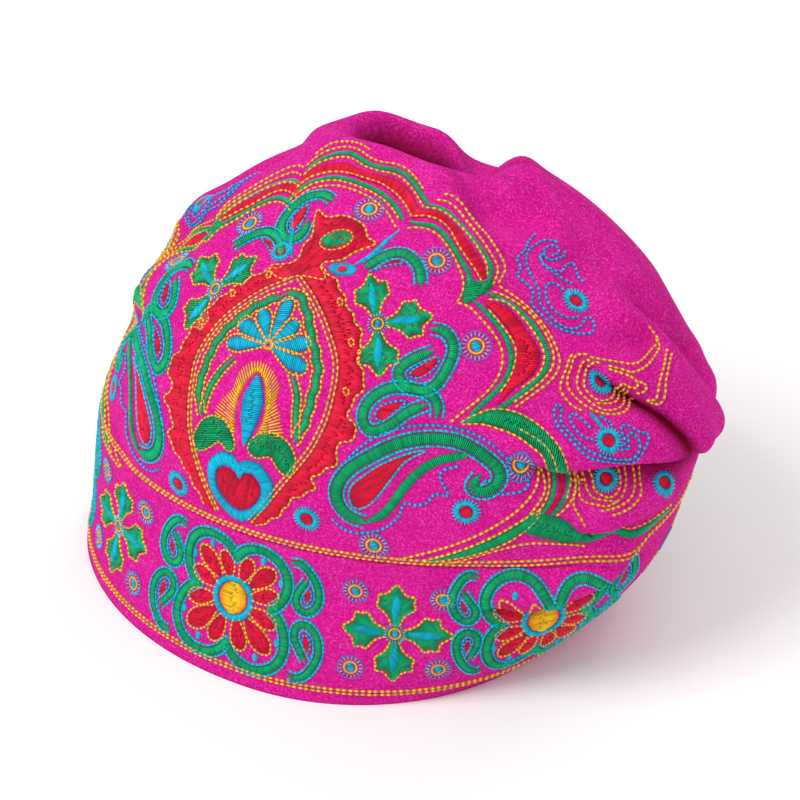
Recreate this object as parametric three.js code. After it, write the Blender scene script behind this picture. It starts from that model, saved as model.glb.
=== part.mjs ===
// Soft embroidered head wrap, standing on its rim. Millimetres, +Z up, front along -Y.
// The origin is the middle of the outline seen from above, on the surface it stands on.
// Two cloth pieces: the head band and the crown sewn to its upper edge.
import * as THREE from "three";

const clothThickness = 1.6;   // cotton with the backing that the embroidery is sewn through
const hemThickness = 2.6;     // at the rim, where the cloth is turned up and sewn
const hemHeight = 8;          // cloth height where the turned up part ends
const middle = [12.3, 12];    // middle of the outline from the middle of the rim, across and back
const bandHeight = 60;        // cloth height of the band, rim to seam
const topHeight = 230;        // cloth height at the gathered point of the crown
const seamGap = 0.35;         // space between band and crown along the cloth
const columns = 84;           // columns of cloth round the head
const bandRows = 6;           // rows of faces up the band
const crownRows = 27;         // rows of faces up the crown
const denseHeight = 102;      // cloth height where the rows of the crown lie closest
const denseRows = 0.25;       // how much closer the rows lie there
const denseSide = 75;         // degrees round from the front, where the folds lie closest
const denseShare = 0.4;       // how much closer the columns stand there
const riseHeight = 25;        // the rim stays flat, the folds fade in up to this cloth height

// Sections of the cloth, one row each, measured from the middle of the rim: h is the cloth height
// above the rim, cx and cy the middle of the section, then the height z and the reach r
// at the front, the left, the back and the right.
const sections = table(
  ["h", "cx", "cy", "zf", "zl", "zb", "zr", "rf", "rl", "rb", "rr"],
  [
    [0, 0, 0, 0, 0, 0, 0, 80, 83, 80, 100],
    [15, 0, 0, 14, 13, 11, 13, 77, 95, 87, 97],
    [30, 0, 0, 28, 27, 21, 27, 72, 106, 95, 96],
    [45, 0, 0, 41, 42, 31, 40, 68, 113, 101, 95],
    [60, 0, 0, 54, 59, 42, 53, 67, 117, 104, 93],
    [85, 0, 3, 79, 80, 60, 74, 68, 121, 96, 86],
    [115, 2, 10, 107, 105, 82, 101, 67, 109, 83, 81],
    [145, 3, 19, 129, 126, 100, 123, 57, 90, 62, 69],
    [175, 4, 30, 145, 143, 117, 140, 41, 61, 38, 47],
    [205, 3, 36, 153, 151, 141, 151, 17, 31, 18, 24],
    [230, 2, 35, 152, 152, 152, 152, 0, 0, 0, 0],
  ],
);

// Folds, one row each: the two ends, the half width, how far the cloth moves out (or in, if negative)
// and how far a tuck hangs down over the cloth below it. An upright fold moves straight up or down.
const folds = [
  {
    name: "top hollow", from: [-14, 42, 152], to: [21, 36, 151], width: 9, out: -26, drop: 0, upright: true,
  },
  { name: "front lip", from: [-18, 28, 151], to: [26, 18, 151], width: 8, out: 3, drop: 0 },
  { name: "rear crest", from: [-23, 52, 146], to: [14, 53, 144], width: 9, out: 6, drop: 0 },
  { name: "saddle", from: [24, 60, 143], to: [28, 30, 152], width: 10, out: -13, drop: 0 },
  { name: "shoulder", from: [30, 55, 148], to: [59, 26, 143], width: 5, out: 3, drop: 0 },
  { name: "shoulder dent", from: [36, 12, 148], to: [60, 22, 146], width: 9, out: -7, drop: 0 },
  { name: "soft dent", from: [70, 12, 140], to: [84, 20, 130], width: 9, out: -3, drop: 0 },
  { name: "upper crease", from: [90, 20, 128], to: [114, 24, 97], width: 7, out: -4, drop: 0 },
  { name: "side valley", from: [108, 25, 106], to: [121, 31, 80], width: 6, out: -7, drop: 0 },
  { name: "side ridge", from: [88, 6, 129], to: [118, 17, 84], width: 7, out: 4, drop: 0 },
  { name: "side notch", from: [104, 46, 114], to: [98, 78, 104], width: 8, out: -7, drop: 0 },
  { name: "outer lobe", from: [112, 50, 98], to: [117, 46, 80], width: 9, out: 4, drop: 0 },
  { name: "lobe edge", from: [120, 6, 80], to: [112, 56, 72], width: 7, out: 3, drop: 3 },
  { name: "slanting tuck", from: [99, -13, 121], to: [123, 5, 86], width: 9, out: 5, drop: 3 },
  { name: "level tuck", from: [81, -46, 98], to: [124, 0, 86], width: 9, out: 5, drop: 4 },
  { name: "band crease", from: [76, -54, 43], to: [114, -16, 52], width: 8, out: 4, drop: 3 },
  { name: "left ear", from: [-67, -30, 99], to: [-81, -7, 78], width: 7, out: -3, drop: 0 },
  { name: "left dent", from: [-51, -15, 126], to: [-69, 7, 112], width: 10, out: -6, drop: 0 },
  { name: "left notch", from: [-68, -8, 116], to: [-90, 10, 104], width: 9, out: -5, drop: 0 },
  { name: "left flat", from: [-66, 22, 126], to: [-40, 36, 146], width: 11, out: -12, drop: 0 },
].map((fold) => foldWithLine(fold));

// Cross shape of a tuck, in half widths above its line: the lip stands out, the crease below it
// lies in, and the cloth between them slides down.
const tuck = {
  lipAt: 0.9,
  lipWidth: 0.8,
  creaseAt: -0.35,
  creaseWidth: 0.6,
  creaseShare: 0.5,
  slideAt: 0.5,
  slideWidth: 0.6,
};

const bump = (offset) => Math.exp(-offset * offset);

// Turns rows of numbers into rows with named columns.
function table(names, rows) {
  return rows.map((row) => Object.fromEntries(names.map((name, k) => [name, row[k]])));
}

// Adds the middle, the length and the direction of a fold's line.
function foldWithLine(fold) {
  const from = new THREE.Vector3(...fold.from);
  const to = new THREE.Vector3(...fold.to);
  const line = to.clone().sub(from);
  return { ...fold, middle: from.add(to).multiplyScalar(0.5), length: line.length(), line: line.normalize() };
}

// Slope of one column of the sections at row k. The cloth lies level at its gathered point.
function slope(k, name) {
  if (k === sections.length - 1 && name.startsWith("z")) return 0;
  const low = sections[Math.max(k - 1, 0)];
  const high = sections[Math.min(k + 1, sections.length - 1)];
  return (high[name] - low[name]) / (high.h - low.h);
}

// Sizes of the section at a cloth height, on a smooth curve through the rows.
function sectionAt(h) {
  let k = sections.length - 2;
  while (k > 0 && sections[k].h > h) k -= 1;
  const low = sections[k];
  const high = sections[k + 1];
  const step = high.h - low.h;
  const u = (h - low.h) / step;
  const u2 = u * u;
  const u3 = u2 * u;
  const sizes = {};
  for (const name of Object.keys(low)) {
    sizes[name] = (2 * u3 - 3 * u2 + 1) * low[name] + (u3 - 2 * u2 + u) * step * slope(k, name)
      + (3 * u2 - 2 * u3) * high[name] + (u3 - u2) * step * slope(k + 1, name);
  }
  return sizes;
}

// Point of the cloth without folds: angle round the head from the front toward +X, and cloth height.
function smoothPoint(angle, h) {
  const size = sectionAt(h);
  const s = Math.sin(angle);
  const c = Math.cos(angle);
  const side = Math.max(s > 0 ? size.rl : size.rr, 0.01);
  const fore = Math.max(c > 0 ? size.rf : size.rb, 0.01);
  const reach = 1 / Math.hypot(s / side, c / fore);
  const z = c * c * (c > 0 ? size.zf : size.zb) + s * s * (s > 0 ? size.zl : size.zr);
  return new THREE.Vector3(size.cx + reach * s, size.cy - reach * c, z);
}

// Outward direction of a surface given as a function of angle and cloth height, from points close by.
function outward(surface, angle, h) {
  const stepAngle = 0.004;
  const stepHeight = 0.5;
  const height = Math.min(h, topHeight - 2 * stepHeight);
  const round = surface(angle + stepAngle, height).sub(surface(angle - stepAngle, height));
  const up = surface(angle, height + stepHeight).sub(surface(angle, Math.max(height - stepHeight, 0)));
  return round.cross(up).normalize();
}

// Movement of one point by one fold.
function foldMove(fold, point, normal) {
  const off = point.clone().sub(fold.middle);
  const along = off.dot(fold.line);
  off.addScaledVector(fold.line, -along);
  const span = Math.exp(-((2 * along / fold.length) ** 4));
  if (fold.drop === 0) {
    const direction = fold.upright ? new THREE.Vector3(0, 0, 1) : normal.clone();
    return direction.multiplyScalar(fold.out * bump(off.length() / fold.width) * span);
  }
  const above = normal.clone().cross(fold.line).normalize();
  if (above.z < 0) above.negate();
  const height = off.dot(above) / fold.width;
  const near = span * bump(off.dot(normal) / (2 * fold.width));  // other layers of cloth stay put
  const lip = bump((height - tuck.lipAt) / tuck.lipWidth)
    - tuck.creaseShare * bump((height - tuck.creaseAt) / tuck.creaseWidth);
  const slide = bump((height - tuck.slideAt) / tuck.slideWidth);
  const outwardPart = normal.clone().multiplyScalar(fold.out * lip * near);
  return outwardPart.addScaledVector(above, -fold.drop * slide * near);
}

// Point of the folded cloth.
function clothPoint(angle, h) {
  const point = smoothPoint(angle, h);
  const normal = outward(smoothPoint, angle, h);
  const rise = THREE.MathUtils.smoothstep(h, 0, riseHeight);
  const moved = point.clone();
  for (const fold of folds) moved.addScaledVector(foldMove(fold, point, normal), rise);
  return moved;
}

// Angles of the columns, closer together on the side with the folds.
function columnAngles() {
  const dense = THREE.MathUtils.degToRad(denseSide);
  return Array.from({ length: columns }, (_, k) => {
    const turn = (2 * Math.PI * k) / columns;
    return turn - denseShare * Math.sin(turn - dense);
  });
}

// Cloth heights of the rows between two heights, closer together where the tucks lie.
function rowHeights(lowest, highest, rows) {
  const span = highest - lowest;
  const dense = (2 * Math.PI * (denseHeight - lowest)) / span;
  return Array.from({ length: rows + 1 }, (_, k) => {
    const turn = (2 * Math.PI * k) / rows;
    return lowest + (span * (turn - denseRows * (Math.sin(turn - dense) + Math.sin(dense)))) / (2 * Math.PI);
  });
}

// Outer and inner points of one row of cloth. The row at the rim is kept flat on the floor.
function clothRow(h) {
  const outer = [];
  const inner = [];
  const hem = Math.max(0, 1 - h / hemHeight);
  const thickness = clothThickness + (hemThickness - clothThickness) * hem;
  for (const angle of columnAngles()) {
    const point = clothPoint(angle, h);
    const within = point.clone().addScaledVector(outward(clothPoint, angle, h), -thickness);
    if (h === 0) within.z = 0;
    outer.push(point);
    inner.push(within);
  }
  return { outer, inner };
}

// A closed cloth wall between two cloth heights, ending in one point if it reaches the top.
function clothWall(name, lowest, highest, rows, color) {
  const closed = highest === topHeight;
  const last = closed ? rows - 1 : rows;
  const heights = rowHeights(lowest, highest, rows).slice(0, last + 1);
  const layers = heights.map((h) => clothRow(h));
  const positions = [];
  const push = (points) => points.forEach((point) => positions.push(point.x, point.y, point.z));
  layers.forEach((layer) => push(layer.outer));
  layers.forEach((layer) => push(layer.inner));
  const outerAt = (row, k) => row * columns + (k % columns);
  const innerAt = (row, k) => (last + 1) * columns + outerAt(row, k);
  const faces = [];
  for (let k = 0; k < columns; k += 1) {
    for (let row = 0; row < last; row += 1) {
      quad(faces, outerAt(row, k), outerAt(row, k + 1), outerAt(row + 1, k + 1), outerAt(row + 1, k));
      quad(faces, innerAt(row, k + 1), innerAt(row, k), innerAt(row + 1, k), innerAt(row + 1, k + 1));
    }
    quad(faces, innerAt(0, k), innerAt(0, k + 1), outerAt(0, k + 1), outerAt(0, k));
    if (!closed) quad(faces, outerAt(last, k), outerAt(last, k + 1), innerAt(last, k + 1), innerAt(last, k));
  }
  if (closed) closeTop(positions, faces, last, outerAt, innerAt);
  const geometry = new THREE.BufferGeometry();
  geometry.setAttribute("position", new THREE.Float32BufferAttribute(positions, 3));
  geometry.setIndex(faces);
  geometry.computeVertexNormals();
  const mesh = new THREE.Mesh(geometry, new THREE.MeshStandardMaterial({ color, roughness: 0.85 }));
  mesh.name = name;
  mesh.position.set(-middle[0], -middle[1], 0);
  return mesh;
}

// Joins the last rows of both layers to one point each, where the cloth is gathered.
function closeTop(positions, faces, last, outerAt, innerAt) {
  const top = clothPoint(0, topHeight);
  const below = top.clone().addScaledVector(outward(clothPoint, 0, topHeight), -clothThickness);
  const outerTop = positions.length / 3;
  positions.push(top.x, top.y, top.z, below.x, below.y, below.z);
  for (let k = 0; k < columns; k += 1) {
    faces.push(outerAt(last, k), outerAt(last, k + 1), outerTop);
    faces.push(innerAt(last, k + 1), innerAt(last, k), outerTop + 1);
  }
}

// Two triangles of one four-sided face.
function quad(faces, a, b, c, d) {
  faces.push(a, b, c, a, c, d);
}

const model = new THREE.Group();
model.name = "head_wrap";
model.add(clothWall("head_band", 0, bandHeight, bandRows, 0xcf3aa4));
model.add(clothWall("crown", bandHeight + seamGap, topHeight, crownRows, 0xd73aa8));

export default model;
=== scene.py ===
import math

import bmesh
import bpy
import numpy as np
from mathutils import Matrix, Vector


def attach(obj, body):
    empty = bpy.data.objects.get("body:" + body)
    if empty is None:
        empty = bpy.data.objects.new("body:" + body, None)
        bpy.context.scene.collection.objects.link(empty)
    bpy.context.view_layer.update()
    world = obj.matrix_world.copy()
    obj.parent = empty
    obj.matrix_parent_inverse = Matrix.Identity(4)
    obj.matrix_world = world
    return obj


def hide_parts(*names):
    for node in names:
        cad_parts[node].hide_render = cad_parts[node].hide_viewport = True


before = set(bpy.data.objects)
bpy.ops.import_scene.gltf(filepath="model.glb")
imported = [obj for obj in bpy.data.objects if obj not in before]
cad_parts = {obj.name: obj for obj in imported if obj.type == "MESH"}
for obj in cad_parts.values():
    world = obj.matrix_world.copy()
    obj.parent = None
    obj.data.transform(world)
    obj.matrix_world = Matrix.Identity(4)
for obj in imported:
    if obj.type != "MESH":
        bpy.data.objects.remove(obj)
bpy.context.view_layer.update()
bpy.context.scene.view_settings.view_transform = "Standard"   # keeps the dyes as bright as they are
millimetre = 0.001

# camera: aimed from the middle of the rim, at the photo's angle
view = {
    "middle": (12.3, 12.0),       # middle of the outline from the middle of the rim, mm
    "distance": 1.0,
    "azimuth": 26.3,
    "elevation": 38.8,
    "lens": 126.45,
    "aimRight": 45.3 / 2810,      # aim beside the rim's middle, as a share of the distance
    "aimUp": 152.5 / 2810,
}


def inScene(name, data):
    thing = bpy.data.objects.new(name, data)
    bpy.context.collection.objects.link(thing)
    return thing


def meshPiece(name, mesh):
    data = bpy.data.meshes.new(name)
    mesh.to_mesh(data)
    mesh.free()
    return inScene(name, data)


def addCamera():
    azimuth, elevation = math.radians(view["azimuth"]), math.radians(view["elevation"])
    back = Vector((math.sin(azimuth) * math.cos(elevation), -math.cos(azimuth) * math.cos(elevation),
                   math.sin(elevation)))
    right = Vector((math.cos(azimuth), math.sin(azimuth), 0))
    up = back.cross(right)
    camera = inScene("camera", bpy.data.cameras.new("camera"))
    camera.data.lens = view["lens"]
    camera.data.sensor_width = 36
    camera.data.clip_start = 0.01
    rimMiddle = Vector((-view["middle"][0] * millimetre, -view["middle"][1] * millimetre, 0))
    camera.location = rimMiddle + back * view["distance"]
    aim = -back + right * view["aimRight"] + up * view["aimUp"]
    camera.rotation_euler = aim.to_track_quat("-Z", "Y").to_euler()
    bpy.context.scene.camera = camera
    print("camera in place")


class Wire:
    # a shader socket that can stand in a sum
    def __init__(self, look, socket):
        self.look, self.socket = look, socket

    def sum(self, operation, *values):
        return self.look.node("ShaderNodeMath", {"operation": operation}, *values)

    def __add__(self, other):
        return self.sum("ADD", self, other)

    def __sub__(self, other):
        return self.sum("SUBTRACT", self, other)

    def __rsub__(self, other):
        return self.sum("SUBTRACT", other, self)

    def __mul__(self, other):
        return self.sum("MULTIPLY", self, other)

    __radd__ = __add__
    __rmul__ = __mul__

    def sine(self):
        return self.sum("SINE", self)

    def size(self):
        return self.sum("ABSOLUTE", self)

    def within(self, low, high):
        # maps low..high to 0..1 and stops there
        return self.look.node("ShaderNodeMapRange", {"clamp": True}, self, low, high)


class Look:
    # a material being wired up
    def __init__(self, name):
        self.material = bpy.data.materials.new(name)
        self.material.use_nodes = True
        self.tree = self.material.node_tree
        self.shader = self.tree.nodes["Principled BSDF"]

    def node(self, kind, settings, *values, out=0, **named):
        node = self.tree.nodes.new(kind)
        for key, value in settings.items():
            setattr(node, key, value)
        for socket, value in list(enumerate(values)) + list(named.items()):
            self.plug(node.inputs[socket], value)
        return Wire(self, node.outputs[out])

    def plug(self, socket, value):
        if isinstance(value, Wire):
            self.tree.links.new(value.socket, socket)
        elif value is not None:
            socket.default_value = value

    def set(self, **sockets):
        words = {"baseColor": "Base Color", "roughness": "Roughness", "normal": "Normal",
                 "specular": "Specular IOR Level"}
        for name, value in sockets.items():
            self.plug(self.shader.inputs[words[name]], value)

    def uv(self, name):
        return self.node("ShaderNodeUVMap", {"uv_map": name})

    def parts(self, vector):
        split = self.node("ShaderNodeSeparateXYZ", {}, vector)
        return [Wire(self, output) for output in split.socket.node.outputs]

    def attribute(self, name):
        return self.node("ShaderNodeAttribute", {"attribute_name": name}, out="Fac")

    def noise(self, vector, scale, detail=2.0):
        return self.node("ShaderNodeTexNoise", {}, out="Fac", Vector=vector, Scale=scale, Detail=detail)

    def mix(self, share, first, second):
        otherKinds = [None] * 5   # the sockets for numbers and vectors come before the colours
        return self.node("ShaderNodeMix", {"data_type": "RGBA"}, share, *otherKinds, first, second, out=2)

    def stretch(self, vector, factors):
        return self.node("ShaderNodeVectorMath", {"operation": "MULTIPLY"}, vector, factors)

    def bump(self, height, depth, strength=1.0, under=None):
        return self.node("ShaderNodeBump", {}, Height=height, Distance=depth, Strength=strength,
                         Normal=under)


def dye(red, green, blue):
    # a colour as seen on screen, 0 to 255, as the shader wants it
    def level(value):
        value /= 255
        return value / 12.92 if value <= 0.04045 else ((value + 0.055) / 1.055) ** 2.4
    return (level(red), level(green), level(blue), 1.0)


# the cloth's surface is a function of the angle from the front (degrees, to the wearer's left)
# and the height along the cloth (mm)

# cloth height, middle across and back, then height and reach at the front, left, back and right, mm
sections = np.array([
    (0, 0, 0, 0, 0, 0, 0, 80, 83, 80, 100),
    (15, 0, 0, 14, 13, 11, 13, 77, 95, 87, 97),
    (30, 0, 0, 28, 27, 21, 27, 72, 106, 95, 96),
    (45, 0, 0, 41, 42, 31, 40, 68, 113, 101, 95),
    (60, 0, 0, 54, 59, 42, 53, 67, 117, 104, 93),
    (85, 0, 3, 79, 80, 60, 74, 68, 121, 96, 86),
    (115, 2, 10, 107, 105, 82, 101, 67, 109, 83, 81),
    (145, 3, 19, 129, 126, 100, 123, 57, 90, 62, 69),
    (175, 4, 30, 145, 143, 117, 140, 41, 61, 38, 47),
    (205, 3, 36, 153, 151, 141, 151, 17, 31, 18, 24),
    (230, 2, 35, 152, 152, 152, 152, 0, 0, 0, 0),
], float)

# folds: the two ends, half width, how far out (or in), how far the tuck hangs down, mm
folds = {
    "topHollow": ((-14, 42, 152), (21, 36, 151), 9, -26, 0),
    "frontLip": ((-18, 28, 151), (26, 18, 151), 8, 3, 0),
    "rearCrest": ((-23, 52, 146), (14, 53, 144), 9, 6, 0),
    "saddle": ((24, 60, 143), (28, 30, 152), 10, -13, 0),
    "shoulder": ((30, 55, 148), (59, 26, 143), 5, 3, 0),
    "shoulderDent": ((36, 12, 148), (60, 22, 146), 9, -7, 0),
    "softDent": ((70, 12, 140), (84, 20, 130), 9, -3, 0),
    "upperCrease": ((90, 20, 128), (114, 24, 97), 7, -4, 0),
    "sideValley": ((108, 25, 106), (121, 31, 80), 6, -7, 0),
    "sideRidge": ((88, 6, 129), (118, 17, 84), 7, 4, 0),
    "sideNotch": ((104, 46, 114), (98, 78, 104), 8, -7, 0),
    "outerLobe": ((112, 50, 98), (117, 46, 80), 9, 4, 0),
    "lobeEdge": ((120, 6, 80), (112, 56, 72), 7, 3, 3),
    "slantingTuck": ((99, -13, 121), (123, 5, 86), 9, 5, 3),
    "levelTuck": ((81, -46, 98), (124, 0, 86), 9, 5, 4),
    "bandCrease": ((76, -54, 43), (114, -16, 52), 8, 4, 3),
    "leftEar": ((-67, -30, 99), (-81, -7, 78), 7, -3, 0),
    "leftDent": ((-51, -15, 126), (-69, 7, 112), 10, -6, 0),
    "leftNotch": ((-68, -8, 116), (-90, 10, 104), 9, -5, 0),
    "leftFlat": ((-66, 22, 126), (-40, 36, 146), 11, -12, 0),
    # narrow creases that lie on the wide folds
    "levelEdge": ((79, -43, 98.5), (122, 3, 84), 4.0, 4.5, 4.5),
    "slantingEdge": ((90, -14, 118), (120, 5, 84), 4.0, 4.0, 5),
    "bandEdge": ((75, -51, 42), (110, -22, 58), 4.0, 4.5, 4.5),
    "lowEdge": ((98, -37, 70), (120, -8, 77), 4.0, 4.5, 5),
    "loopCrease": ((93, -5, 121), (103, 7, 116), 4.0, -3.5, 0),
    "sideEdge": ((98, 9, 121), (120, 19, 79), 4.0, 3.5, 0),
    "sideFurrow": ((99, 18, 120), (121, 27, 79), 4.0, -4, 0),
    "softFurrow": ((70, 0, 143), (104, 4, 112), 6.0, -2, 0),
    "wrinkleHigh": ((57, 34, 146), (88, 31, 129), 5.0, -2, 0),
    "wrinkleSide": ((76, 24, 138), (104, 16, 115), 5.0, -2.5, 0),
    "earNotch": ((-67, -28, 100), (-80, -9, 80), 4.0, -2, 0),
    "leftCrease": ((-82, -30, 60), (-61, -51, 57), 4.0, -1.5, 0),
}

tuck = {
    # places across a tuck and their widths, in half widths of the fold above its line
    "lip": (0.9, 0.8),        # stands out
    "crease": (-0.35, 0.6),   # lies in
    "creaseShare": 0.5,       # of what the lip stands out
    "slide": (0.5, 0.6),      # hangs down
    "shade": (-0.5, 0.55),    # gets painted shade
    "shadeDrop": 6,           # painted shade is full where the tuck hangs down this far, mm
    "shadeDepth": 12,         # or where the dip on top is this deep, mm
    "layer": 2,               # cloth more than this many half widths off stays put
}

cloth = {
    "columns": 300,
    "bandHeight": 60.0,       # cloth height of the seam, mm
    "bandRows": 48,
    "topHeight": 229.0,
    "crownRows": 136,
    "riseHeight": 25.0,       # the folds fade in up to here
    "thickness": 1.5,
    "seamGroove": 0.7,
    "grooveWidth": 0.9,
    "denseSide": 70.0,        # degrees, where the columns stand closest
    "denseShare": 0.4,
}


def sectionAt(height):
    steps, rows = sections[:, 0], sections[:, 1:]
    slopes = np.gradient(rows, steps, axis=0)
    slopes[-1, 2:6] = 0       # the cloth lies level at its gathered point
    low = np.clip(np.searchsorted(steps, height, side="right") - 1, 0, len(steps) - 2)
    step = (steps[low + 1] - steps[low])
    t = ((height - steps[low]) / step)[..., None]
    step = step[..., None]
    return ((2 * t ** 3 - 3 * t ** 2 + 1) * rows[low] + (t ** 3 - 2 * t ** 2 + t) * step * slopes[low]
            + (3 * t ** 2 - 2 * t ** 3) * rows[low + 1] + (t ** 3 - t ** 2) * step * slopes[low + 1])


def smoothPoint(angle, height):
    cx, cy, zFront, zLeft, zBack, zRight, front, left, back, right = np.moveaxis(sectionAt(height), -1, 0)
    sine, cosine = np.sin(np.radians(angle)), np.cos(np.radians(angle))
    side = np.where(sine > 0, left, right) + 1e-4
    fore = np.where(cosine > 0, front, back) + 1e-4
    reach = 1 / np.hypot(sine / side, cosine / fore)
    z = cosine ** 2 * np.where(cosine > 0, zFront, zBack) + sine ** 2 * np.where(sine > 0, zLeft, zRight)
    return np.stack([cx + reach * sine, cy - reach * cosine, z], -1)


def unit(vectors):
    return vectors / (np.linalg.norm(vectors, axis=-1, keepdims=True) + 1e-9)


def outward(angle, height):
    # from points half a millimetre and a quarter of a degree away
    height = np.minimum(height, cloth["topHeight"])
    across = smoothPoint(angle + 0.25, height) - smoothPoint(angle - 0.25, height)
    along = smoothPoint(angle, height + 0.5) - smoothPoint(angle, np.maximum(height - 0.5, 0))
    return unit(np.cross(across, along))


def bell(place, middle, width):
    return np.exp(-((place - middle) / width) ** 2)


def foldMove(points, normals, name):
    # how far one fold moves the cloth, and how much painted shade each point gets for lying deep inside the
    # fold
    start, end, width, out, drop = folds[name]
    start, end = np.array(start, float), np.array(end, float)
    length = np.linalg.norm(end - start)
    line = (end - start) / length
    offset = points - (start + end) / 2
    along = offset @ line
    offset = offset - along[..., None] * line
    span = np.exp(-(2 * along / length) ** 4)
    if drop == 0:
        way = np.array((0, 0, 1.0)) if name == "topHollow" else normals
        move = way * (out * bell((offset ** 2).sum(-1) ** 0.5, 0, width) * span)[..., None]
        # painted shade only in the deep fold at the top
        return move, -(move * normals).sum(-1) / tuck["shadeDepth"] * (name == "topHollow")
    above = unit(np.cross(normals, line))
    above = np.where(above[..., 2:] < 0, -above, above)
    s = (offset * above).sum(-1) / width
    near = span * bell((offset * normals).sum(-1), 0, tuck["layer"] * width)
    lip = bell(s, *tuck["lip"]) - tuck["creaseShare"] * bell(s, *tuck["crease"])
    slide = bell(s, *tuck["slide"])
    move = normals * (out * lip * near)[..., None] - above * (drop * slide * near)[..., None]
    # painted shade under a tuck that hangs down
    return move, drop / tuck["shadeDrop"] * near * bell(s, *tuck["shade"])


def clothPoint(angle, height):
    # millimetres from the middle of the rim
    points, normals = smoothPoint(angle, height), outward(angle, height)
    move = sum(foldMove(points, normals, name)[0] for name in folds)
    rise = np.clip(height / cloth["riseHeight"], 0, 1)[..., None]
    groove = cloth["seamGroove"] * bell(height, cloth["bandHeight"], cloth["grooveWidth"])
    return points + move * rise ** 2 * (3 - 2 * rise) - normals * groove[..., None]


# one table of the whole surface, which the cloth and every thread on it read
turns = np.linspace(-180, 180, cloth["columns"] + 1)
gridAngles = turns - np.degrees(cloth["denseShare"] * np.sin(np.radians(turns - cloth["denseSide"])))
bandHeights = np.linspace(0, cloth["bandHeight"], cloth["bandRows"] + 1)
crownHeights = np.linspace(cloth["bandHeight"], cloth["topHeight"], cloth["crownRows"] + 1)
gridHeights = np.concatenate([bandHeights, crownHeights[1:]])
gridPoints = clothPoint(*np.meshgrid(gridAngles, gridHeights, indexing="ij"))
gridPoints = (gridPoints - np.array((*view["middle"], 0))) * millimetre
print("cloth surface worked out")


def gridNormals():
    wide = np.concatenate([gridPoints[-2:-1], gridPoints, gridPoints[1:2]])   # runs round
    return unit(np.cross(np.gradient(wide, axis=0)[1:-1], np.gradient(wide, axis=1)[1:-1]))


def gridPaintedShade():
    # painted shade: 0 on open cloth, 1 deep in a fold
    angle, height = np.meshgrid(gridAngles, gridHeights, indexing="ij")
    points, normals = smoothPoint(angle, height), outward(angle, height)
    return np.clip(sum(foldMove(points, normals, name)[1] for name in folds), 0, 1)


normalsAtGrid, paintedShadeAtGrid = gridNormals(), gridPaintedShade()


def runLengths():
    # how far the cloth runs across and up from the front of the rim, metres
    across = np.linalg.norm(np.diff(gridPoints, axis=0), axis=-1).cumsum(0)
    across = np.concatenate([np.zeros((1, across.shape[1])), across])
    across -= across[len(gridAngles) // 2]
    up = np.linalg.norm(np.diff(gridPoints, axis=1), axis=-1).cumsum(1)
    return across, np.concatenate([np.zeros((up.shape[0], 1)), up], axis=1)


def clothPiece(name, firstRow, lastRow, closed):
    # a grid bent round the head, its two sides merged
    rows = lastRow - firstRow
    mesh = bmesh.new()
    bmesh.ops.create_grid(mesh, x_segments=cloth["columns"], y_segments=rows, size=1)
    across, up = runLengths()
    uv = mesh.loops.layers.uv.new("cloth")
    paintedShade = mesh.verts.layers.float.new("paintedShade")
    places = {}
    for vert in mesh.verts:
        column = round((vert.co.x + 1) / 2 * cloth["columns"])
        row = firstRow + round((vert.co.y + 1) / 2 * rows)
        places[vert.index] = (column, row)
        # painted shade of the folds on each corner
        vert[paintedShade] = paintedShadeAtGrid[column, row]
    for face in mesh.faces:
        for loop in face.loops:
            column, row = places[loop.vert.index]
            loop[uv].uv = (across[column, row], up[column, row])
    for vert in mesh.verts:
        vert.co = gridPoints[places[vert.index]]
    bmesh.ops.remove_doubles(mesh, verts=mesh.verts, dist=1e-6)
    if closed:
        # the small opening at the gathered point, 152 mm up
        ring = [edge for edge in mesh.edges if edge.is_boundary and edge.verts[0].co.z > 0.1]
        bmesh.ops.holes_fill(mesh, edges=ring, sides=0)
    bmesh.ops.recalc_face_normals(mesh, faces=mesh.faces)
    for face in mesh.faces:
        face.smooth = True
    piece = meshPiece(name, mesh)
    wall = piece.modifiers.new("wall", "SOLIDIFY")
    wall.thickness = cloth["thickness"] * millimetre
    wall.offset = -1
    return piece


weave = {
    "colour": dye(214, 18, 144),
    "shade": dye(118, 0, 30),          # painted shade, deep in the folds and under the tucks
    "pale": dye(240, 92, 194),
    "pits": dye(168, 4, 96),           # between the threads
    "pitch": 0.9,                      # thread to thread, mm
    "wander": 0.3,                     # how far threads stray, in pitches
    "straying": 450.0,                 # how often, from here on features per metre
    "slub": (90, 900, 1),              # thick places along the threads
    "grain": 1500.0,
    "mottle": 70.0,
    "pucker": 260.0,
    "depth": 0.00035,                  # relief of the threads, metres
    "puckerDepth": 0.0009,
}


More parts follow.
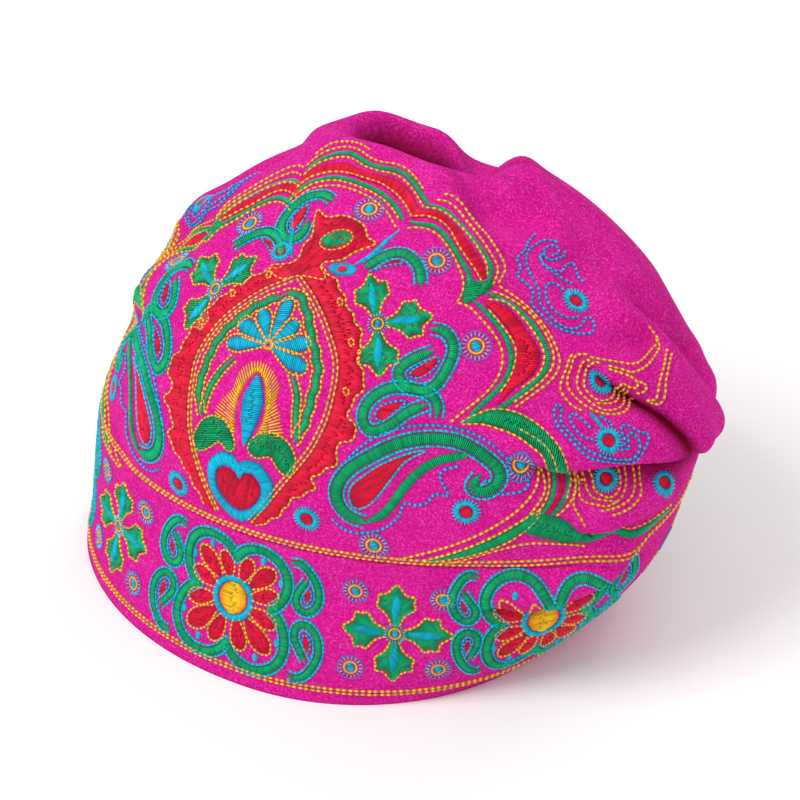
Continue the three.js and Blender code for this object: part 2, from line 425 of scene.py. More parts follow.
def clothLook(name):
    look = Look(name)
    across, up = look.parts(look.uv("cloth"))[:2]
    turn = 2 * math.pi / (weave["pitch"] * millimetre)
    stray = (look.noise(look.uv("cloth"), weave["straying"], 2.0) - 0.5) * (2 * math.pi * weave["wander"])
    warp, weft = (across * turn + stray).sine(), (up * turn + stray).sine()
    slub = look.noise(look.stretch(look.uv("cloth"), weave["slub"]), 1.0)
    grain = look.noise(look.node("ShaderNodeTexCoord", {}, out="Object"), weave["grain"], 1.0)
    mottle = look.noise(look.uv("cloth"), weave["mottle"], 4.0)
    # how much the weave, the grain and the thick threads each count
    height = warp * weft * 0.3 + grain * 1.4 + slub * 0.3
    tone = (slub - 0.5) * 0.5 + (mottle - 0.5) * 0.6 + warp * weft * 0.26 + (grain - 0.5) * 2.6
    colour = look.mix(tone.within(-0.9, -0.1), weave["pits"], weave["colour"])
    colour = look.mix(tone.within(0.1, 1.0), colour, weave["pale"])
    # painted shade: the dye turns dark red deep in the folds
    colour = look.mix(look.attribute("paintedShade").within(0.15, 0.9), colour, weave["shade"])
    pucker = look.noise(look.uv("cloth"), weave["pucker"], 3.0)
    normal = look.bump(pucker, weave["puckerDepth"], 0.7)
    look.set(baseColor=colour, roughness=0.9, specular=0.1,
             normal=look.bump(height, weave["depth"], 0.8, normal))
    return look.material


studio = {
    "floor": dye(250, 250, 250),
    "floorSize": 4,
    "sky": 0.6,
    "lights": (
        # name, place, size, watts
        ("key", (-0.5, -0.7, 1.1), 0.7, 11.5),
        ("fill", (0.9, -0.6, 0.6), 0.9, 1.6),
        ("rim", (0.2, 0.9, 0.9), 0.8, 4.5),
    ),
}


def addStudio():
    mesh = bmesh.new()
    bmesh.ops.create_grid(mesh, x_segments=1, y_segments=1, size=studio["floorSize"])
    floor = meshPiece("floor", mesh)
    look = Look("pale_floor")
    look.set(baseColor=studio["floor"], roughness=0.9)
    floor.data.materials.append(look.material)
    for name, place, size, power in studio["lights"]:
        light = bpy.data.lights.new(name, "AREA")
        light.size, light.energy = size, power
        lamp = inScene(name, light)
        lamp.location = place
        lamp.rotation_euler = (-Vector(place)).to_track_quat("-Z", "Y").to_euler()
    world = bpy.data.worlds.new("studio")
    world.use_nodes = True
    colour, strength = world.node_tree.nodes["Background"].inputs[:2]
    colour.default_value, strength.default_value = (1, 1, 1, 1), studio["sky"]
    bpy.context.scene.world = world
    print("floor and lights in place")


# embroidery: each stitch is one small closed thread laid over the cloth
stitch = {
    "pitch": 0.62,         # satin, thread to thread, mm
    "overlap": 1.3,        # a satin thread's width, in pitches
    "lift": 0.55,
    "longest": 6.5,        # longer satin threads are split
    "runLength": 2.1,
    "runGap": -0.3,        # running stitches overlap a little
    "runWidth": 0.95,
    "runLift": 0.75,
    "edgeGap": 0.35,       # between a green band and the line beside it
    "splitAt": 0.3,        # how unevenly long threads are split, as a share of a part
    "splitOver": 0.03,     # how far the parts overlap
    "ragged": 0.035,       # how uneven the ends of satin threads are, as a share of the thread
    "bandEdge": (0.96, 1.06),   # how far a ribbon's threads reach, in half its width
    "stray": 0.15,         # how far running stitches stray along their line
    "uneven": 0.12,        # how much threads differ in height, as a share
    "sink": 0.02,          # the underside of a thread lies this far above the cloth
    "leftLower": 5.0,      # the left half of the pattern sits this much lower, mm
}
chance = np.random.default_rng(57)
stitches = {}              # (carrier, colour): rows of from, to, width, lift, first and last share along


def readTable(values, chart):
    turned = (chart[..., 0] - gridAngles[0]) % 360 + gridAngles[0]
    column = np.interp(turned, gridAngles, np.arange(len(gridAngles)))
    row = np.interp(chart[..., 1], gridHeights, np.arange(len(gridHeights)))
    low, under = np.floor(column).astype(int), np.floor(row).astype(int)
    low, under = np.minimum(low, cloth["columns"] - 1), np.minimum(under, len(gridHeights) - 2)
    s, t = (column - low)[..., None], (row - under)[..., None]
    return ((values[low, under] * (1 - s) + values[low + 1, under] * s) * (1 - t)
            + (values[low, under + 1] * (1 - s) + values[low + 1, under + 1] * s) * t)


def onCloth(chart):
    return readTable(gridPoints, chart) / millimetre


def dot(a, b):
    return (a * b).sum(-1)


def axesAt(chart):
    # a degree and a height step on the cloth as millimetres to the right and up
    near = 0.6
    perDegree = (onCloth(chart + (near, 0)) - onCloth(chart - (near, 0))) / (2 * near)
    perHeight = (onCloth(chart + (0, near)) - onCloth(chart - (0, near))) / (2 * near)
    right = unit(perDegree)
    up = np.cross(unit(np.cross(perDegree, perHeight)), right)
    return dot(perDegree, right), dot(perHeight, right), dot(perHeight, up)


def moved(chart, right, up):
    degree, lean, height = axesAt(chart)
    rise = up / height
    return chart + np.stack([(right - rise * lean) / degree, rise], -1)


def flattened(chart, centre):
    # chart points as millimetres right and up of the centre
    degree, lean, height = axesAt(np.array(centre, float))
    offset = chart - centre
    return np.stack([offset[:, 0] * degree + offset[:, 1] * lean, offset[:, 1] * height], -1)


def placed(centre, points, turn=0.0):
    # millimetre points, turned clockwise, on the cloth round a centre
    angle = math.radians(turn)
    points = np.atleast_2d(np.array(points, float))
    x = points[:, 0] * math.cos(angle) + points[:, 1] * math.sin(angle)
    y = points[:, 1] * math.cos(angle) - points[:, 0] * math.sin(angle)
    return moved(np.tile(np.array(centre, float), (len(points), 1)), x, y)


def lengthsAlong(path):
    return np.concatenate([[0], np.linalg.norm(np.diff(onCloth(path), axis=0), axis=-1).cumsum()])


def evenly(path, count):
    # count + 1 points at even steps along the path
    along = lengthsAlong(path)
    steps = np.linspace(0, along[-1], count + 1)
    return np.stack([np.interp(steps, along, path[:, k]) for k in range(2)], -1)


def smoothed(points, closed=False, steps=8):
    # a curve through the points
    points = np.array(points, float)
    if closed:
        padded = np.concatenate([points[-1:], points, points[:2]])
    else:
        padded = np.concatenate([2 * points[:1] - points[1:2], points, 2 * points[-1:] - points[-2:-1]])
    t = (np.arange(steps) / steps)[None, :, None]
    a, b, c, d = (padded[k:len(padded) - 3 + k, None] for k in range(4))
    curve = 0.5 * (2 * b + (c - a) * t + (2 * a - 5 * b + 4 * c - d) * t ** 2
                   + (3 * b - a - 3 * c + d) * t ** 3)
    return np.concatenate([curve.reshape(-1, 2), padded[-2:-1]])


def beside(path, distance):
    # the path moved to its left on the cloth, mm
    step = np.gradient(path, axis=0)
    degree, lean, height = axesAt(path)
    x, y = step[:, 0] * degree + step[:, 1] * lean, step[:, 1] * height
    size = np.hypot(x, y) + 1e-9
    return moved(path, -y / size * distance, x / size * distance)


def waved(path, wave, size):
    return beside(path, size * np.sin(2 * math.pi * lengthsAlong(path) / wave))


def lay(colour, starts, ends, width, lift):
    spans = np.linalg.norm(onCloth(starts) - onCloth(ends), axis=-1)
    parts = np.maximum(1, np.ceil(spans / stitch["longest"])).astype(int)
    for count in np.unique(parts):
        some = parts == count
        a, b = starts[some], ends[some]
        uneven = chance.uniform(-stitch["splitAt"], stitch["splitAt"], (len(a), count - 1))
        cuts = (np.arange(1, count) + uneven) / count
        bounds = np.concatenate([np.zeros((len(a), 1)), cuts, np.ones((len(a), 1))], axis=1)
        for k in range(count):
            first, last = bounds[:, [k]], bounds[:, [k + 1]]
            near = a + (b - a) * (first - stitch["splitOver"] * (k > 0))
            far = a + (b - a) * (last + stitch["splitOver"] * (k < count - 1))
            sizes = np.tile((width, lift), (len(a), 1))
            rows = np.column_stack([near, far, sizes, first, last])
            onBand = (near[:, 1] + far[:, 1]) / 2 < cloth["bandHeight"]
            for carrier, chosen in (("band", onBand), ("crown", ~onBand)):
                if chosen.any():
                    stitches.setdefault((carrier, colour), []).append(rows[chosen])


def satin(colour, left, right, pitch=None, lift=None, width=None):
    # threads side by side from one edge to the other
    pitch = pitch or stitch["pitch"]
    count = max(2, round(max(lengthsAlong(left)[-1], lengthsAlong(right)[-1]) / pitch))
    starts, ends = evenly(left, count), evenly(right, count)
    ragged = chance.uniform(-stitch["ragged"], stitch["ragged"], (2, len(starts), 1))
    starts, ends = starts + (starts - ends) * ragged[0], ends + (ends - starts) * ragged[1]
    lay(colour, starts, ends, width or pitch * stitch["overlap"], lift or stitch["lift"])


def ribbon(colour, path, width, tips=0.08, pitch=None, lift=None):
    # a satin band along a path, rounded off at its ends
    pitch = pitch or stitch["pitch"]
    path = evenly(path, max(4, round(lengthsAlong(path)[-1] / pitch)))
    along = np.linspace(0, 1, len(path))
    half = np.full(len(path), width / 2)
    if tips:
        half *= np.clip(np.minimum(along, 1 - along) / tips, 0.04, 1) ** 0.5
    uneven = chance.uniform(*stitch["bandEdge"], (2, len(path)))
    lay(colour, beside(path, half * uneven[0]), beside(path, -half * uneven[1]), pitch * stitch["overlap"],
        lift or stitch["lift"])


def fill(colour, outline, slant=0.0, pitch=None, lift=None):
    # satin over a closed shape, its threads slanting this many degrees up from level
    pitch = pitch or stitch["pitch"]
    centre = outline.mean(0)
    flat = flattened(outline, centre)
    angle = math.radians(slant)
    turn = np.array(((math.cos(angle), math.sin(angle)), (-math.sin(angle), math.cos(angle))))
    flat = flat @ turn.T
    following = np.roll(flat, -1, axis=0)
    starts, ends = [], []
    for level in np.arange(flat[:, 1].min() + pitch / 2, flat[:, 1].max(), pitch):
        crossing = (flat[:, 1] <= level) != (following[:, 1] <= level)
        a, b = flat[crossing], following[crossing]
        places = np.sort(a[:, 0] + (level - a[:, 1]) / (b[:, 1] - a[:, 1]) * (b[:, 0] - a[:, 0]))
        for k in range(0, len(places) - 1, 2):
            starts.append((places[k], level))
            ends.append((places[k + 1], level))
    if starts:
        starts, ends = (placed(centre, np.array(rows) @ turn) for rows in (starts, ends))
        lay(colour, starts, ends, pitch * stitch["overlap"], lift or stitch["lift"])


def running(colour, path, apart=0.0, lift=None, length=None):
    # a dashed line, or two of them this far apart, mm
    for offset in ((-apart / 2, apart / 2) if apart else (0.0,)):
        line = beside(path, offset) if offset else path
        along = lengthsAlong(line)
        count = max(1, round(along[-1] / (length or stitch["runLength"])))
        step = along[-1] / count
        places = np.arange(count) * step + chance.uniform(-stitch["stray"], stitch["stray"], count)
        starts, ends = (np.stack([np.interp(places + far, along, line[:, k]) for k in range(2)], -1)
                        for far in (0, step - stitch["runGap"]))
        lay(colour, starts, ends, stitch["runWidth"], lift or stitch["runLift"])


def bothEdges(colour, line, away, length):
    # running stitches this far from a line, on both sides of it
    for distance in (away, -away):
        running(colour, beside(line, distance), length=length)


def loop(radius, squash=1.0, count=40):
    turn = np.linspace(0, 2 * math.pi, count + 1)
    return np.stack([radius * np.cos(turn), radius * squash * np.sin(turn)], -1)


def disc(colour, centre, radius, slant=0.0):
    fill(colour, placed(centre, loop(radius)[:-1]), slant)


def ring(colour, centre, inner, outer, pitch=None, lift=None, width=None):
    satin(colour, placed(centre, loop(inner)), placed(centre, loop(outer)), pitch, lift, width)


mirror = {
    "heights": (130, 165),    # between these, the pattern's middle line goes from one angle to the other
    "angles": (-8.5, -2.0),
    "fade": 25,               # degrees from that line to where the left half is fully lower
}


def mirrored(path):
    # the same line on the other half of the pattern
    path = np.array(path, float)
    axis = np.interp(path[:, 1], mirror["heights"], mirror["angles"])
    lower = stitch["leftLower"] * np.clip(np.abs(path[:, 0] - axis) / mirror["fade"], 0, 1)
    return np.stack([2 * axis - path[:, 0], path[:, 1] - lower], -1)


def bothSides(draw, *paths):
    # draws with the paths, and with their mirror images
    draw(*[np.array(path, float) for path in paths])
    draw(*[mirrored(path) for path in paths])


# motifs that repeat

def redRosette(centre, radius=5.0):
    ring("turquoise", centre, radius * 0.42, radius * 0.8)
    ring("turquoise", centre, radius * 0.5, radius, pitch=1.35, width=0.6)
    disc("red", centre, radius * 0.45, 30)


def whiteRosette(centre, radius=5.2):
    # pale loops round a yellow ring
    ring("blue", centre, radius * 0.86, radius, pitch=0.9, width=0.5)
    ring("paleBlue", centre, radius * 0.56, radius * 0.98, pitch=1.7, width=0.42)
    ring("yellow", centre, radius * 0.34, radius * 0.58, pitch=0.5)
    disc("turquoise", centre, radius * 0.34, 20)


leafOutline = ((1.2, 2.6), (2.3, 5.8), (4.2, 8.0), (6.7, 9.4), (5.3, 11.3), (6.3, 13.9), (3.3, 13.8),
    (2.0, 15.6), (0, 18.4))


def bothHalves(half):
    # an outline from its right half, which ends at the tip
    return np.concatenate([half, half[-2::-1] * (-1, 1)])


def crossLeaf(centre, turn, size=1.0):
    # a three-pointed leaf with a turquoise heart
    outline = bothHalves(np.array(leafOutline) * size)
    shape = placed(centre, outline, turn)
    fill("green", smoothed(shape, closed=True, steps=4), -turn + 35)
    core = bothHalves(np.array(((0.7, 4.5), (1.9, 9.5), (1.4, 12.5), (0, 15))) * size)
    fill("turquoise", placed(centre, core, turn), -turn - 50, lift=1.0)
    running("yellow", placed(centre, outline * (1.06, 1.02), turn), length=1.7)


def crossFlower(centre, turns=(0, 90, 180, 270), size=1.0):
    for turn in turns:
        crossLeaf(centre, turn, size)
    ring("paleBlue", centre, 2.3 * size, 4.0 * size, pitch=1.2, width=0.45, lift=0.9)
    ring("yellow", centre, 1.3 * size, 2.5 * size, pitch=0.5, lift=0.9)
    disc("turquoise", centre, 1.4 * size)


def comma(path, core, width=3.4):
    # a curled green band with blue edges round a red drop
    path, core = smoothed(path), smoothed(core, closed=True)
    ribbon("green", path, width, lift=0.7)
    bothEdges("turquoise", path, width / 2 + stitch["edgeGap"], 1.6)
    fill("red", core, 40)
    running("blue", core, length=1.6)


sideComma = {
    # right of the flower and above its middle, millimetres
    "path": ((21.5, 20.5), (25.0, 21.0), (28.5, 17.5), (31.0, 12.0), (31.0, 6.5), (28.0, 2.5), (24.3, 3.0),
        (23.2, 7.0), (25.5, 11.5), (27.2, 14.5)),
    "core": ((26.6, 5.2), (28.6, 7.2), (28.4, 10.6), (27.4, 12.0), (25.8, 9.0)),
}

bandFlower = {
    "height": 31.5,           # cloth height of the flowers' centres, mm
    "first": -8.5,            # degrees, the flower near the front
    "pitch": 57.0,            # along the cloth from a flower to the next cross, mm
    "notch": 14.0,            # radius of the green band where two lobes meet, mm
    "lobe": 25.0,
    "band": 3.3,
    "stretch": (0.96, 1.06),  # the flower is a little taller than wide
    "petals": (-27, 0, 27),   # degrees from the middle of a lobe
    "petalHalf": ((0.9, 8.0), (2.5, 12.0), (3.2, 16.0), (2.3, 19.2), (0, 21.2)),
    "petalTurns": (45, 135, 225, 315),
    "shifts": {2: (-8, 4)},   # sewn this much to the right and higher, mm
    "lines": ((6.0, 1.3), (61.6, 1.5)),   # height of the double lines, and how far apart
}


def flower(centre):
    turn = np.linspace(0, 2 * math.pi, 161)
    notch, lobe = bandFlower["notch"], bandFlower["lobe"]
    reach = notch + (lobe - notch) * np.abs(np.sin(2 * turn)) ** 0.75
    edge = np.stack([reach * np.cos(turn), reach * np.sin(turn)], -1) * bandFlower["stretch"]
    edge = placed(centre, edge)
    ribbon("green", edge, bandFlower["band"], tips=0, lift=0.75)
    bothEdges("turquoise", edge, bandFlower["band"] / 2 + stitch["edgeGap"], 1.6)
    for middle in bandFlower["petalTurns"]:
        for lean in bandFlower["petals"]:
            size = 1.0 if lean == 0 else 0.84
            outline = bothHalves(np.array(bandFlower["petalHalf"]) * size)
            turned = middle + lean
            fill("red", placed(centre, outline, turned), 90 - turned)
            running("yellow", placed(centre, outline * (1.14, 1.02), turned), length=1.6, lift=0.8)
            if lean:
                disc("turquoise", placed(centre, ((0, 20.3),), middle + lean * 0.52)[0], 1.3)
    ring("turquoise", centre, 5.6, 8.2, lift=0.75)
    disc("gold", centre, 5.7, 0)
    for right in (1, -1):
        for up in (1, -1):
            sides = (right, up)
            comma(placed(centre, np.array(sideComma["path"]) * sides),
                  placed(centre, np.array(sideComma["core"]) * sides), 2.6)


def bandPattern():
    # flowers and crosses in turn, evenly round the band
    level = bandFlower["height"]
    angles = np.linspace(-180, 180, 721)
    along = lengthsAlong(np.stack([angles, np.full(len(angles), level)], -1))
    first = np.interp(bandFlower["first"], angles, along)
    for k in range(-4, 6):
        angle = np.interp((first + k * bandFlower["pitch"]) % along[-1], along, angles)
        centre = placed((angle, level), (bandFlower["shifts"].get(k, (0, 0)),))[0]
        if k % 2 == 0:
            flower(centre)
        else:
            crossFlower(centre)
            for right in (-14.5, 14.5):
                for up in (-13.8, 14.0):
                    whiteRosette(placed(centre, ((right, up),))[0], 4.6)
    for height, apart in bandFlower["lines"]:
        running("yellow", np.stack([angles, np.full(len(angles), height)], -1), apart)
    print("band pattern drawn")


panel = {
    "eye": (-1.5, 168.5),
    "curls": ((-19, 151), (9.5, 149), (16.5, 137), (18, 121), (-27.5, 141), (-33, 128)),
    "innerRight": ((-8, 154), (0.5, 148.5), (8, 140.5), (14, 129.5), (14.8, 116), (13.5, 104.5),
        (10.5, 94.5), (3, 79), (-4.5, 65.5)),
    "innerLeft": ((-10, 153), (-19, 145), (-26.5, 132.5), (-29.5, 118.5), (-29, 109), (-26.5, 92),
        (-22, 78.5), (-16, 65)),
    "outerRight": ((-3, 158.5), (6, 155), (13.5, 147), (19, 140), (19.5, 132), (22.5, 124.5), (19.5, 114.5),
        (23, 107.5), (18, 101.5), (19.5, 96.5), (13.5, 89), (14, 84.5), (8, 79), (4.5, 72), (-3, 64.5)),
    "outerLeft": ((-16, 155.5), (-24, 149), (-31, 138), (-35, 127), (-36, 117), (-38.5, 108), (-34.5, 102),
        (-37.5, 98), (-32.5, 91), (-33.5, 85), (-27, 77), (-19.5, 66)),
    "top": ((-21, 153.5), (-13.5, 157), (-12, 160), (-13.5, 164), (-12, 167), (-15, 171.5), (-18.5, 177),
        (-11.5, 175), (-5, 177.5), (3, 177), (8, 175.3), (10.8, 171.5), (15.5, 170.5), (8, 166),
        (4.5, 162.5), (-2, 160.2), (-2.5, 158.5), (2, 155), (-8, 154), (-14, 151)),
    "greenRight": ((-10, 146.3), (-5, 148), (0.5, 142.5), (3.5, 137), (7, 130.5), (9, 124.5), (9, 116.5),
        (8.5, 107), (6.5, 100)),
    "greenLeft": ((-10, 146.3), (-16, 141.5), (-19.5, 137), (-23, 130.5), (-25, 123.5), (-25.5, 114),
        (-25.2, 105.5), (-22.5, 98.5)),
    "branchRight": ((7, 101), (5.5, 110.5), (4.8, 116), (1.5, 123)),
    "branchLeft": ((-22.5, 99.5), (-22, 108), (-20, 115.5), (-17, 122)),
    "kidneyRight": ((-6.3, 92.5), (-5.5, 97), (-1.5, 101), (4.5, 99.8), (8, 94), (7, 87.5), (3.5, 88.5),
        (0.5, 92.5), (-3.5, 90.5)),
    "kidneyLeft": ((-10.5, 92), (-12, 97), (-16, 100.5), (-21.5, 98), (-24.5, 90), (-22.5, 85.5),
        (-18.5, 88.5), (-15.5, 92), (-12.5, 89.5)),
    "heartOuter": ((-7.8, 64.5), (-2.5, 69), (2, 75.5), (2.6, 83), (-1.5, 88.5), (-5.5, 89.3), (-8.3, 87.5),
        (-11.5, 89.3), (-15.5, 88.3), (-18.8, 82.5), (-18, 73.5), (-13.5, 67)),
    "heartInner": ((-8, 69.2), (-4.3, 72), (-1.8, 76.8), (-2, 81.2), (-4.6, 84), (-7, 83.4), (-8.2, 80.8),
        (-10, 83.2), (-12.8, 83.6), (-15.3, 81), (-15.2, 75), (-11.8, 70.5)),
    "spindle": ((-8, 119), (-5.3, 115), (-4, 109), (-5, 101), (-7.6, 93.5), (-10, 101), (-11, 109),
        (-10, 115)),
    "arch": ((-19.5, 99.5), (-17.8, 106), (-15, 112.5), (-14.5, 118), (-12, 122.5), (-8.2, 124),
        (-4.2, 122.3), (-1, 118), (-0.5, 112.5), (2.5, 105.5), (4, 100)),
    "archInner": ((-10.5, 97.5), (-11.6, 103), (-11.8, 109), (-11, 114), (-9.6, 117.5), (-8, 119.3),
        (-6.2, 117.5), (-4.6, 113.5), (-3.6, 108), (-4, 102.5), (-5.5, 97)),
}

fan = {
    "centre": (-8, 129.5),
    "petals": ((6, 16.5, 3.0), (-34, 12.5, 2.9), (40, 12.5, 2.9), (-72, 14.0, 3.2), (74, 14.5, 3.1),
               (-104, 15.5, 2.8), (108, 15.5, 3.2)),     # turn, length, half width
}


def redPanel():
    for side in ("Right", "Left"):
        inner, outer = smoothed(panel["inner" + side]), smoothed(panel["outer" + side])
        outer = waved(outer, 6.5, 0.8)
        satin("red", inner, outer, lift=0.6)
        running("yellow", outer)
        inward = 1.4 if side == "Left" else -1.4
        running("yellow", inner)
        running("yellow", beside(inner, inward))
        green = waved(smoothed(panel["green" + side]), 6.0, 0.45)
        ribbon("green", green, 2.6)
        bothEdges("yellow", green, 1.75, 1.7)
        branch = smoothed(panel["branch" + side])
        ribbon("green", branch, 2.2, tips=0.4)
        bothEdges("yellow", branch, 1.4, 1.7)
        kidney = smoothed(panel["kidney" + side], closed=True)
        fill("green", kidney, 20 if side == "Left" else 60, lift=1.0)
        running("yellow", kidney, length=1.6)
    top = smoothed(panel["top"], closed=True, steps=5)
    fill("red", top, 62, lift=0.6)
    running("yellow", top)
    fill("green", placed(panel["eye"], loop(5.2, 0.6)[:-1], -35), 80, lift=1.3)
    running("yellow", placed(panel["eye"], loop(5.6, 0.66), -35), length=1.6)
    arch, archInner = smoothed(panel["arch"]), smoothed(panel["archInner"])
    satin("gold", archInner, arch, pitch=1.15, width=0.6)
    satin("gold", beside(archInner, 0.6), beside(archInner, 2.4), pitch=1.15, width=0.6)
    fill("turquoise", smoothed(panel["spindle"], closed=True), 10, lift=0.8)
    heart, core = smoothed(panel["heartOuter"], closed=True), smoothed(panel["heartInner"], closed=True)
    satin("turquoise", heart, core, lift=0.85)
    fill("red", core, 75, lift=0.6)
    for turn, length, half in fan["petals"]:
        petal = ((0.3, 0.6), (half * 0.6, length * 0.4), (half, length * 0.7),
                 (half * 0.7, length * 0.93), (0, length))
        outline = bothHalves(np.array(petal))
        fill("turquoise", placed(fan["centre"], outline, turn), -turn + 20, lift=0.7)
        running("yellow", placed(fan["centre"], outline * (1.15, 1.03), turn), length=1.5)
    ring("yellow", fan["centre"], 0.3, 2.4, pitch=1.3, width=0.5, lift=1.0)
    for curl in panel["curls"]:
        running("yellow", placed(curl, loop(1.6, 0.6, 10), 60), length=1.3, lift=1.0)
    print("red panel drawn")


fields = {
    # red drop commas, each the band's path and the core
    "upperComma": (
        ((38, 145.5), (41.5, 145), (43.7, 141), (43, 135.5), (39.5, 127), (35, 125.3), (31.5, 127.5),
            (31, 131.5), (34.5, 135.5), (39, 138.5)),
        ((33.5, 129.5), (34.5, 132), (40.3, 137), (39.5, 133), (36, 129.2)),
    ),
    "lowerComma": (
        ((40.5, 116.5), (40.5, 121), (38.5, 124.5), (34.5, 125.5), (29, 124.5), (24.5, 119.5), (23.5, 113.5),
            (26, 109.5), (30, 112), (34, 117.5), (38.3, 121)),
        ((26.5, 114.5), (27.5, 118.5), (33.5, 121.5), (31, 117), (28.5, 113.3)),
    ),
    "longComma": (
        ((14, 161.5), (19.5, 166.3), (25, 168.5), (29.5, 167.5), (33, 164), (34, 159)),
        ((17, 161.2), (22, 163.8), (28, 165.5), (22, 166)),
    ),
}

bigPaisley = {
    "shoot": ((9, 161), (15.5, 167), (19, 172), (23.5, 176.5)),
    "cross": ((23, 144.5),),
    "outer": ((28.5, 76), (24, 77.5), (20.8, 82), (20.3, 88), (22.5, 94.5), (27.5, 101), (33, 106.5),
        (39, 109.5), (45, 109.5), (50, 106), (53.5, 100.5), (54, 95.5), (52, 92), (49.5, 93.5), (50.5, 98)),
    "inner": ((28.5, 76), (31.8, 79.5), (34.2, 85), (36.5, 92.5), (39.5, 99), (43, 102.8), (48, 105)),
    "core": ((23.7, 84), (23.7, 88.5), (26.5, 93.5), (30.5, 99), (35.5, 103.5), (39.5, 105.5), (35.5, 101),
        (33, 94), (31, 88), (28.8, 83), (25.5, 80.5)),
    "line": ((18.5, 90), (21.5, 97.5), (24.5, 103.5), (30, 110), (38.5, 114), (46, 113.5), (52, 109.5),
        (55, 104.5), (56, 99), (59, 96.5), (58.5, 92.5), (54.5, 91)),
    "squiggle": ((46.5, 101), (43, 98.5), (43.5, 95), (45.5, 89.5), (42.5, 90.3), (41.5, 86.5), (38.5, 85),
        (36.5, 85.5), (35.5, 79), (31, 73), (24, 71.3), (19.3, 75.5)),
}

leftComma = (
    ((-14.5, 181.5), (-22, 182.5), (-29, 179), (-30.5, 172.5), (-28, 166.5), (-21.5, 163.8), (-17, 166.5),
        (-18.5, 172)),
    ((-25.5, 168.5), (-27, 173), (-24.5, 177.5), (-21, 172), (-21.5, 167)),
)

rosettes = {
    "oval": (6, 159.5),
    "redLeft": (-20.5, 159.5),
    "red": ((12.5, 73), (49, 84), (74, 152.5), (73, 126.3), (71, 110), (71.7, 93), (81, 86.5)),
    "white": ((38.5, 167.5), (49, 141), (57.5, 102.5)),
    "whiteMiddle": ((6.5, 182), (30.5, 67)),
}


def fieldMotifs():
    for path, core in fields.values():
        bothSides(comma, path, core)
    for side in (1, -1):
        change = mirrored if side < 0 else (lambda path: np.array(path, float))
        outer = smoothed(change(bigPaisley["outer"]))
        ribbon("green", outer, 4.2, tips=0.05, lift=0.85)
        inner = smoothed(change(bigPaisley["inner"]))
        ribbon("green", inner, 3.4, tips=0.12, lift=0.8)
        core = smoothed(change(bigPaisley["core"]), closed=True)
        fill("red", core, 40 * side, lift=0.6)
        running("turquoise", core, length=1.7)
        bothEdges("turquoise", outer, 2.5, 1.7)
        running("blue", smoothed(change(bigPaisley["line"])), length=1.9)
        running("blue", smoothed(change(bigPaisley["squiggle"])), length=1.9)
        ribbon("turquoise", smoothed(change(bigPaisley["shoot"])), 2.2, tips=0.5)
        crossFlower(change(bigPaisley["cross"])[0], (-27 * side, 72 * side, 167 * side), 0.94)
        for centre in rosettes["red"]:
            redRosette(change((centre,))[0])
        for centre in rosettes["white"]:
            whiteRosette(change((centre,))[0])
    comma(*leftComma)
    redRosette(rosettes["redLeft"], 4.4)
    fill("turquoise", placed(rosettes["oval"], loop(4.6, 0.6)[:-1], -10), 90)
    fill("red", placed(rosettes["oval"], loop(2.2, 0.6)[:-1], -10), 0, lift=1.1)
    for centre in rosettes["whiteMiddle"]:
        whiteRosette(centre)
    print("field motifs drawn")


